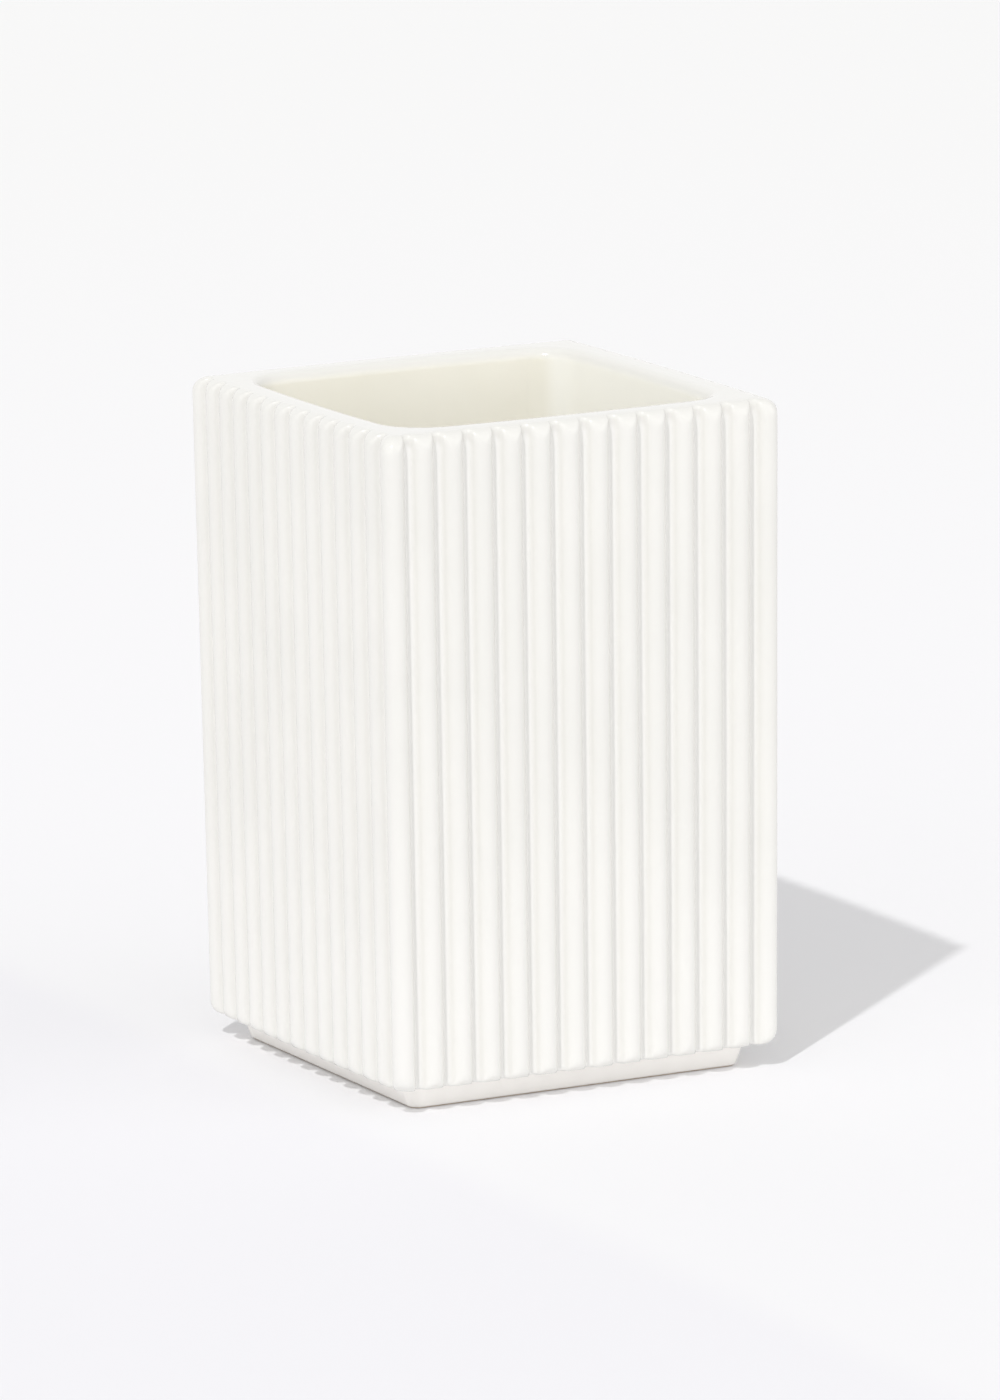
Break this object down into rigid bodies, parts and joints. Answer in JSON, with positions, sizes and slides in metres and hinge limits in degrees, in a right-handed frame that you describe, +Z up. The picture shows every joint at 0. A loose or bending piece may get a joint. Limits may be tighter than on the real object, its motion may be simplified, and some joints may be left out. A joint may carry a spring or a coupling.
{
  "type": "pen holder cup",
  "caption": "Square ceramic pen holder cup with upright ribs outside, a smooth open well, a soft glazed rim and a recessed foot.",
  "frame": {"origin": "middle of the footprint, on the surface that the cup stands on", "axes": "+Z up along the cup's axis, out of the open mouth; X and Y square to the four sides"},
  "size_m": [0.0724, 0.0724, 0.1105],
  "materials": {
    "stoneware": "matte, unglazed",
    "cream_glaze": "glossy"
  },
  "bodies": {
    "root": {"ceramic_body": "stoneware", "outer_glaze": "cream_glaze", "inner_glaze": "cream_glaze", "base_glaze": "cream_glaze"}
  },
  "joints": []
}
